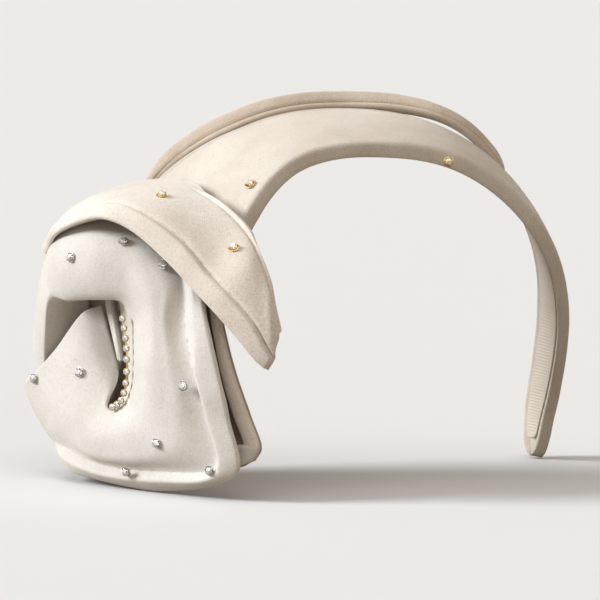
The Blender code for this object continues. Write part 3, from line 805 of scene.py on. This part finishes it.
def strap_ring(turn):
    y, height = at_turns(STRAP_LINE, turn)[0]
    start, end = STRAP_ENDS
    near_end = max(start + 3 - turn, turn - (end - 3), 0) / 3
    small = math.sqrt(max(1 - near_end**2, 0.03))
    lean = math.radians(STRAP_LEAN)
    height += at_turns(STRAP_RISE, turn)[0, 0]
    y -= at_turns(STRAP_TUCK, turn)[0, 0]
    width = at_turns(STRAP_WIDTHS, turn)[0, 0]
    wide, thick = np.array(STRAP_OUTLINE).T
    wide = wide * width / 2 * small
    thick = thick * STRAP_THICKNESS / 2 * (0.5 + 0.5 * small)
    along_y = wide * math.cos(lean) - thick * math.sin(lean)
    along_height = wide * math.sin(lean) + thick * math.cos(lean)
    return head_point(turn, y + along_y, height + along_height)


def build_strap():
    rings = uneven(np.array([strap_ring(turn) for turn in steps(*STRAP_ENDS, 0.7)]), 5.0)
    nodes = both_sides("strap_felt") + both_sides("strap_wire")
    build_length("rear_strap", rings, 4, SHADED_STRAP_FELT, "felt", *nodes)


# ---- the knot


# How deep the felt dips before the cowl's hem, how high the hem's crest stands, and its fall to the edge.
HEM_DIP = 2.7
HEM_CREST = 3.5
HEM_FALL = 1.3
# The flap's hem, the crease beside it, and the rim down its right side with the groove beside that.
FLAP_HEM = 0.75
FLAP_CREASE = 0.8
FLAP_RIM = 0.6
FLAP_GROOVE = 0.55
# How far the tail sinks beside the cowl, and how far all of it lies under its control points.
TAIL_SINK = 2.4
TAIL_DROP = 0.9


def cowl_relief(long, cross):
    """The cowl's hem, down the right and along the foot: a dip, a crest, and a fall to the edge.

    At the hem's top its crest lies further out.
    """
    here = bump_between(long, 6.0, 12.8, 1.0)
    crest = 4.2 + 0.36 * step_up(-long, -7.7, 0.9)
    dip = step_up(cross, 3.45, 1.1)
    rise = step_up(cross, (4.0 + crest) / 2, crest - 4.0 + 0.05)
    fall = np.clip((cross - crest) / (5.0 - crest), 0, 1) ** 1.5
    return here * (-HEM_DIP * dip + rise * (HEM_CREST - HEM_FALL * fall))


def flap_relief(long, cross):
    """A turned hem along the flap's free edge and a narrow rim down its right side."""
    here = bump_between(long, 0.8, 9.6, 0.6)
    crease = groove(cross, 1.0, 0.085)
    hem = 1 - step_up(cross, 0.97, 0.1)
    rim = FLAP_RIM * step_up(cross, 3.3, 0.2) - FLAP_GROOVE * groove(cross, 3.15, 0.13)
    return here * (FLAP_HEM * hem - FLAP_CREASE * crease) + bump_between(long, 4.6, 10.0, 1.0) * rim


def tail_relief(long, cross):
    """The tail sinks towards the cowl, and its foot bends out under the cuff."""
    foot = step_up(long, 3.9, 0.5)
    return -TAIL_SINK * (1 - foot) * (1 - step_up(cross, 1.9, 0.8)) - TAIL_DROP


def felt_sheet(name, outer, normals, thickness, material, *nodes):
    """A closed sheet of felt under this outer face, on the crown and knot."""
    points, faces, places = sheet_body(outer, normals, thickness)
    settle(mesh_piece(name, points, faces, [material], places=places * MM), ROOT, "felt", *nodes)


PER_SPAN = 12


def build_sheet(name, sections, relief, thickness, material, *nodes):
    long = edge_dense(len(sections) - 1, PER_SPAN)
    cross = edge_dense(len(sections[0]) - 1, PER_SPAN)
    outer = surface(knot_point(sections), long, cross)
    normals = grid_normals(outer)
    rise = felt_grain(outer, 0.14, 8.0)
    if relief:
        rise = rise + relief(long[:, None], cross[None, :])
    felt_sheet(name, outer + normals * rise[..., None], normals, thickness, material, *nodes)


# The felt inside the slit: it carries the cowl's left wall on to the cover of the base.
HOLLOW = (
    ((-90, 26, 12), (-84, 28, 12), (-79, 29, 12), (-74, 33, 12)),
    ((-89.5, 27, 22), (-83.5, 28.5, 22), (-78.5, 30, 22), (-73.5, 34, 22)),
    ((-89, 28, 33), (-83, 30, 33), (-78, 31.5, 33), (-73, 35.5, 33)),
    ((-88, 31, 46.5), (-82.5, 33, 45.5), (-77.5, 34, 44.5), (-72, 38, 43.5)),
    ((-86, 38, 50.5), (-81.5, 39, 51), (-76.5, 40, 50.5), (-70.5, 43, 49)),
)
COVER_HEIGHT = 8.6
COVER_TURNS = (-88.0, -46.0)
COVER_INSET = 7.5


def build_cover():
    """Felt laid over the stiff base of the knot, in the dark tail felt: painted shade in the slit's hollow.
    """
    turns = steps(*COVER_TURNS, 2.0)
    shares = edge_dense(1, 24)
    front = front_edge(turns) + COVER_INSET
    rear = rear_edge(turns) - COVER_INSET
    y = front[:, None] + (rear - front)[:, None] * shares[None, :]
    outer = head_point(turns[:, None], y, COVER_HEIGHT)
    normals = grid_normals(outer)
    outer = outer + normals * felt_grain(outer, 0.3, 9.0)[..., None]
    felt_sheet("base_cover", outer, normals, 1.3, SHADED_TAIL_FELT)


# The part of a half circle that a strip's back follows, to either side of its middle.
STRIP_ROUND = 0.9


def build_strip(name, long, cross, rise, thickness, material):
    """A strip that stands on part of the tail, rounded across."""
    outer = surface(knot_point(TAIL), long, cross)
    normals = grid_normals(outer)
    round_off = np.sqrt(1 - np.linspace(-STRIP_ROUND, STRIP_ROUND, len(cross)) ** 2)
    outer = outer + normals * (rise * round_off + felt_grain(outer, 0.12, 6.0))[..., None]
    felt_sheet(name, outer, normals, thickness, material)


# Where the gusset's foot lies on the band, in from the rear edge and above the band's top.
BACK_FOOT_INSET = 2.5
BACK_FOOT_LIFT = 0.7
# Positions on the cowl that the gusset starts from: along the cowl, and across it to its rear edge.
BACK_LONGS = np.linspace(0.1, 3.9, 9)
BACK_CROSSES = (4.55, 4.95)
# How far under the cowl it starts, and how far under and past the edge it turns.
BACK_START = 1.6
BACK_UNDER = 1.8
BACK_PAST = 1.2
# How much higher its last row reaches, from under the cowl to its foot.
BACK_TOP = np.array((8.0, 8.0, 13.0, 17.0))


def band_under(heights):
    """Points on the band's top along its rear edge at the knot, at these heights in the knot's frame."""
    turns = steps(-97.0, -40.0, 1.0)
    line = head_point(turns, rear_edge(turns) - BACK_FOOT_INSET, BAND_TOP + BACK_FOOT_LIFT)
    rise = line[:, 2] - HEAD_CENTRE[2]
    return np.stack([np.interp(heights, rise, line[:, axis]) for axis in range(3)], -1)


def build_back():
    """A gusset that closes the knot from behind: from under the cowl's rear edge down to the band."""
    rows = []
    for long in BACK_LONGS:
        (place, normal), (edge, _) = (sheet_place(COWL, long, cross) for cross in BACK_CROSSES)
        start = place - normal * BACK_START
        turned = edge - normal * BACK_UNDER + unit(edge - place) * BACK_PAST
        foot = band_under(start[2] - HEAD_CENTRE[2])
        between = turned * 0.5 + foot * 0.5 + unit(turned - foot + normal * 4) * 0.4
        rows.append([start, turned, between, foot])
    top = np.array(rows[-1])
    rows.append(top + band_under(top[3, 2] - HEAD_CENTRE[2] + BACK_TOP) - top[3])
    outer = surface(np.array(rows), edge_dense(len(rows) - 1, 4), edge_dense(3, 8))
    felt_sheet("knot_back", outer, grid_normals(outer), 1.2, COWL_FELT)


def build_knot():
    build_cover()
    build_back()
    build_sheet("hollow", HOLLOW, None, 1.2, COWL_FELT)
    build_sheet("cowl", COWL, cowl_relief, SHEET, COWL_FELT, "knot_cowl")
    build_sheet("flap", FLAP, flap_relief, SHEET, LIT_AND_SHADED_FLAP_FELT, "knot_flap")
    # The tail's dark felt is painted shade.
    build_sheet("tail", TAIL, tail_relief, SHEET, SHADED_TAIL_FELT, "knot_tail")
    # The fold is in the paler flap felt: painted light on the tail's ridge.
    build_strip("tail_fold", steps(0.3, 4.2, 0.06), steps(2.0, 3.0, 0.06), 1.3, 2.2, LIT_AND_SHADED_FLAP_FELT)
    build_strip("tail_cuff", steps(3.95, 4.95, 0.05), steps(1.1, 3.0, 0.08), 1.7, 2.4, COWL_FELT)
    build_sheet("pleat", PLEAT, None, PLEAT_SHEET, COWL_FELT, "knot_pleat")


# ---- stitches

STITCH = 0.17
STITCH_RISE = np.array((-0.05, 0.12, -0.05))


def stitch_row(line, normals, pitch, length, slant=0.0):
    """Short tone-on-tone stitches along a line of points, each a little proud of the felt."""
    run = arcs(np.asarray(line), 0)
    parts = []
    for start in np.arange(pitch / 2, run[-1] - length, pitch):
        places = np.array([start, start + length / 2, start + length])
        spots = np.stack([np.interp(places, run, line[:, axis]) for axis in range(3)], -1)
        out = np.array([np.interp(start, run, normals[:, axis]) for axis in range(3)])
        across = unit(np.cross(out, spots[2] - spots[0])) * slant
        lean = across * np.array([-1, 0, 1])[:, None]
        parts.append(tube(spots + out * STITCH_RISE[:, None] + lean, STITCH, sides=6))
    return parts


def hem_stitches(sections, relief, longs, cross):
    """Stitches along a hem of a sheet, at this position across it."""
    spots = [sheet_place(sections, long, cross) for long in longs]
    normals = np.array([normal for _, normal in spots])
    rise = relief(longs, np.full(len(longs), cross))
    line = np.array([spot for spot, _ in spots]) + normals * rise[:, None]
    return stitch_row(line, normals, 5.0, 1.3)


def build_stitches():
    parts = hem_stitches(COWL, cowl_relief, np.linspace(6.6, 12.8, 60), 4.0)
    parts += hem_stitches(FLAP, flap_relief, np.linspace(1.0, 9.4, 60), 1.06)
    settle(joined_piece("knot_stitches", parts, THREAD), ROOT, "thread")
    turns = steps(RIGHT_END + 8, LEFT_END - 9, 1.0)
    parts = []
    for edge, inward in ((front_edge(turns), 1), (rear_edge(turns), -1)):
        line = head_point(turns, edge + inward * LINING_EDGE, 1.0)
        normals = unit(head_point(turns, edge + inward * LINING_EDGE, 0.0) - line)
        parts += stitch_row(line, normals, 4.5, 1.6, slant=0.35)
    settle(joined_piece("band_stitches", parts, THREAD), None, "thread")


# ---- the trim


def frame_at(normal):
    """Two directions across a normal."""
    side = unit(np.cross(normal, (0.1, 0.3, 1.0)))
    return side, np.cross(normal, side)


def ring_of(centre, side, other, radius, count, twist=0.0):
    angles = np.linspace(0, math.tau, count, endpoint=False) + twist
    return centre + radius * (np.cos(angles)[:, None] * side + np.sin(angles)[:, None] * other)


# A stone from its back up: share of its height, share of its radius, turn in facets.
STONE_LEVELS = ((0.0, 0.86, 0.0), (0.28, 1.0, 0.0), (0.42, 1.0, 0.0), (0.78, 0.80, 0.5), (1.0, 0.52, 0.0))
# A cup's outline, up its outside and down into its dish, as shares of its height and radius; and a claw's.
CUP_LEVELS = ((0.0, 0.70), (0.03, 1.02), (0.30, 1.16), (0.46, 1.16), (0.48, 1.04), (0.2, 0.9), (0.12, 0.3))
CLAW_PATH = ((0.30, 1.12), (0.52, 1.13), (0.74, 1.04), (0.90, 0.86))
CLAWS = 4


def faceted(centre, normal, radius, height, twist):
    """A cut stone on a flat back: girdle, eight kite facets and an eight-sided table."""
    side, other = frame_at(normal)
    rings = []
    for share, wide, half_step in STONE_LEVELS:
        turned = twist + half_step * math.tau / 8
        rings.append(ring_of(centre + normal * height * share, side, other, radius * wide, 8, turned))
    return lofted(rings)


def cup(centre, normal, radius, height):
    """A setting: a dished cup with claws bent over the stone's edge."""
    side, other = frame_at(normal)
    rings = []
    for share, wide in CUP_LEVELS:
        rings.append(ring_of(centre + normal * height * share, side, other, radius * wide, 20))
    parts = [lofted(rings)]
    for number in range(CLAWS):
        angle = math.tau * number / CLAWS + 0.4
        out = math.cos(angle) * side + math.sin(angle) * other
        line = [centre + out * radius * wide + normal * height * share for share, wide in CLAW_PATH]
        parts.append(tube(smooth(line, np.linspace(0, 3, 7)), radius * 0.13, sides=6))
    return parts


def band_place(turn, inset, height):
    y = front_edge(turn)[0] + inset
    here = head_point(turn, y, height)
    if height < BAND_TOP:
        return here, np.array((0.0, -1.0, 0.0))
    one = head_point(turn + 1, y, height) - head_point(turn - 1, y, height)
    two = head_point(turn, y + 1, height) - head_point(turn, y - 1, height)
    normal = unit(np.cross(one, two))
    return here, normal if normal.dot(here - HEAD_CENTRE) > 0 else -normal


def build_crystals():
    """Crystals in clawed cups: champagne ones on the flap and the band, clear ones on the cowl."""
    spots = [(sheet_place(*spot), spot[0] is FLAP) for spot in CRYSTALS]
    spots += [(band_place(*spot), True) for spot in BAND_CRYSTALS]
    for number, ((place, normal), warm) in enumerate(spots, 1):
        base = place - normal * CRYSTAL_SUNK
        seat = base + normal * CRYSTAL_HEIGHT * 0.18
        parts = cup(base, normal, CRYSTAL_RADIUS, CRYSTAL_HEIGHT)
        parts.append(faceted(seat, normal, CRYSTAL_RADIUS * 0.97, CRYSTAL_HEIGHT, number * 0.7))
        points, faces, owners = joined(parts)
        finish = (owners == len(parts) - 1).astype(np.int32)
        materials = [BRASS, CHAMPAGNE] if warm else [SILVER, CLEAR]
        piece = mesh_piece(f"jewel_{number:02d}", points, faces, materials, finish, smooth_angle=25)
        settle(piece, ROOT, "champagne_crystal" if warm else "clear_crystal", f"crystal_{number:02d}")


def build_chain():
    """Small stones in brass cups, joined by links, down the right side of the slit."""
    path = knot_point(CHAIN_PATH)
    spots = smooth(path, np.linspace(0, len(path) - 1, CHAIN_STONES))
    outward = unit(knot_point((-0.45, 0.89, 0)) - HEAD_CENTRE)
    metal_parts = []
    stones = []
    for number, spot in enumerate(spots):
        base = spot + outward * 0.1
        metal_parts += cup(base, outward, STONE_RADIUS * 0.92, 1.3)
        stones.append(faceted(base + outward * 0.3, outward, STONE_RADIUS * 0.9, 1.2, number * 0.4))
    for one, two in zip(spots, spots[1:]):
        link = [one + (two - one) * share + outward * 0.35 for share in (0.2, 0.5, 0.8)]
        metal_parts.append(tube(link, 0.28, sides=6))
    settle(joined_piece("cup_chain_metal", metal_parts, BRASS, 35), ROOT, "brass", "cup_chain")
    names = [f"chain_stone_{number:02d}" for number in range(1, CHAIN_STONES + 1)]
    settle(joined_piece("cup_chain_stones", stones, CLEAR, 10), ROOT, "clear_crystal", *names)


# ---- the comb

COMB_WIDTH = 36.0
COMB_SPINE = 1.2
COMB_TEETH = 15
TOOTH_WIDTH = 1.2
TOOTH_REACH = 22.0
TOOTH_RADIUS = 0.62
TOOTH_TAPER = 0.30
LOOP_THREAD = 0.15
LOOP_TWIST = 0.16
LOOP_TURNS = 9


def build_comb():
    half = COMB_WIDTH / 2
    spine = [COMB_AXIS + (x, 0, 0) for x in np.linspace(-half + COMB_SPINE, half - COMB_SPINE, 12)]
    parts = [tube(spine, COMB_SPINE, sides=14, squash=0.62)]
    reach = np.linspace(0, TOOTH_REACH, 9)
    taper = TOOTH_RADIUS - TOOTH_TAPER * (reach / TOOTH_REACH) ** 2
    for x in np.linspace(-half + TOOTH_WIDTH / 2, half - TOOTH_WIDTH / 2, COMB_TEETH):
        path = [COMB_AXIS + (x, TOOTH_WIDTH / 2 + y, 0.0) for y in reach]
        parts.append(tube(path, taper, sides=8, squash=0.9))
    settle(joined_piece("side_comb", parts, PLASTIC), "comb", "comb_plastic", "comb")


def build_loops():
    """The two loops of twisted thread that hold the comb's spine."""
    for side in ("right", "left"):
        low, high = (np.array(corner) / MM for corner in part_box(f"comb_loop_{side}"))
        centre = (low + high) / 2
        radius = (high[2] - low[2]) / 2 - 0.25
        angles = np.linspace(0, math.tau, 49)
        strands = []
        for strand in range(2):
            twist = LOOP_TURNS * angles + strand * math.pi
            out = radius + LOOP_TWIST * np.cos(twist)
            line = np.stack([LOOP_TWIST * np.sin(twist), out * np.cos(angles), out * np.sin(angles)], -1)
            strands.append(tube(line + centre, LOOP_THREAD, sides=6))
        piece = joined_piece(f"comb_thread_{side}", strands, THREAD)
        settle(piece, ROOT, "thread", f"comb_loop_{side}")


# ---- what stays from the CAD


def dress_frame():
    """The stiffening and the wires keep their CAD shape and get materials of their own."""
    finishes = {"buckram": BUCKRAM, "knot_base": BUCKRAM, "wire": COVERED_WIRE}
    for name, node in frame["nodes"].items():
        for key, finish in finishes.items():
            if key in name:
                node.data.materials.clear()
                node.data.materials.append(finish)
                node.data.shade_smooth()


# ---- stage, light and camera

CAMERA_TURN = -20.0
CAMERA_RISE = 6.0
CAMERA_DISTANCE = 1.8
CAMERA_LENS = 312.0
CAMERA_SHIFT = Vector((-0.009, 0.0, -0.004))
FLOOR_SEEN = rgb(0.685, 0.698, 0.712)
FLOOR_BOUNCED = rgb(0.33, 0.295, 0.25)
FLOOR_REACH = 15000.0
FLOOR_GAP = 0.05
# Even lights: name, the way towards it, strength, spread in degrees, colour.
SUNS = (
    ("window", (-0.875, 0.26, 0.45), 4.0, 24, (0.965, 0.985, 1.0)),
    ("room", (0.04, -0.94, 0.26), 0.32, 36, (1.0, 0.84, 0.68)),
    ("ceiling", (-0.10, -0.28, 0.95), 1.3, 70, (1.0, 0.98, 0.95)),
)


def paper(name, seen, bounced):
    """Pale paper that throws back less light on the object than it shows the camera."""
    made = Nodes(name)
    grain = made.noise(made.place(), 30.0, 2.0, 0.5)
    from_camera = made.add("LightPath")
    colour = made.mix(from_camera, bounced, seen)
    shade = made.mix(made.times(grain, 0.03), colour, rgb(0.5, 0.5, 0.5))
    return made.finish(shade, 0.9)


def build_stage():
    """A wide pale floor."""
    low = CAD_BOX[0].z / MM - FLOOR_GAP
    corners = [(x * FLOOR_REACH, y * FLOOR_REACH, low) for x, y in ((-1, -1), (1, -1), (1, 1), (-1, 1))]
    floor = mesh_piece("floor", corners, [(0, 1, 2, 3)], [paper("paper", FLOOR_SEEN, FLOOR_BOUNCED)])


def soft_sun(name, direction, strength, spread, colour):
    """Even light from a wide patch of the room in this direction."""
    data = bpy.data.lights.new(name, "SUN")
    data.energy = strength
    data.angle = math.radians(spread)
    data.color = colour
    lamp = bpy.data.objects.new(name, data)
    bpy.context.scene.collection.objects.link(lamp)
    lamp.rotation_euler = Vector(direction).to_track_quat("Z", "Y").to_euler()


def build_light():
    """A window to the left, weak warm light from the front, a pale ceiling and the room all round."""
    for sun in SUNS:
        soft_sun(*sun)
    world = bpy.data.worlds.new("room")
    world.use_nodes = True
    nodes, links = world.node_tree.nodes, world.node_tree.links
    warm = nodes["Background"]
    warm.inputs["Color"].default_value = rgb(1.0, 0.77, 0.57)
    warm.inputs["Strength"].default_value = 0.22
    seen = nodes.new("ShaderNodeBackground")
    seen.inputs["Color"].default_value = rgb(0.83, 0.83, 0.82)
    mixed = nodes.new("ShaderNodeMixShader")
    rays = nodes.new("ShaderNodeLightPath")
    links.new(rays.outputs["Is Diffuse Ray"], mixed.inputs[0])
    links.new(seen.outputs[0], mixed.inputs[1])
    links.new(warm.outputs[0], mixed.inputs[2])
    links.new(mixed.outputs[0], nodes["World Output"].inputs["Surface"])
    bpy.context.scene.world = world
    bpy.context.scene.view_settings.view_transform = "Standard"


def build_camera():
    """The camera stands round the head's centre and looks at the middle of the object."""
    azimuth = math.radians(CAMERA_TURN)
    rise = math.radians(CAMERA_RISE)
    back = Vector((math.sin(azimuth) * math.cos(rise), -math.cos(azimuth) * math.cos(rise), math.sin(rise)))
    data = bpy.data.cameras.new("camera")
    data.lens = CAMERA_LENS
    data.clip_end = 20
    camera = bpy.data.objects.new("camera", data)
    bpy.context.scene.collection.objects.link(camera)
    camera.location = Vector(HEAD_CENTRE * MM) + back * CAMERA_DISTANCE
    middle = (CAD_BOX[0] + CAD_BOX[1]) / 2 + CAMERA_SHIFT
    camera.rotation_euler = (middle - camera.location).to_track_quat("-Z", "Y").to_euler()
    bpy.context.scene.camera = camera


build_band()
build_lining()
build_strap()
build_knot()
build_stitches()
build_crystals()
build_chain()
build_comb()
build_loops()
dress_frame()
build_stage()
build_light()
build_camera()
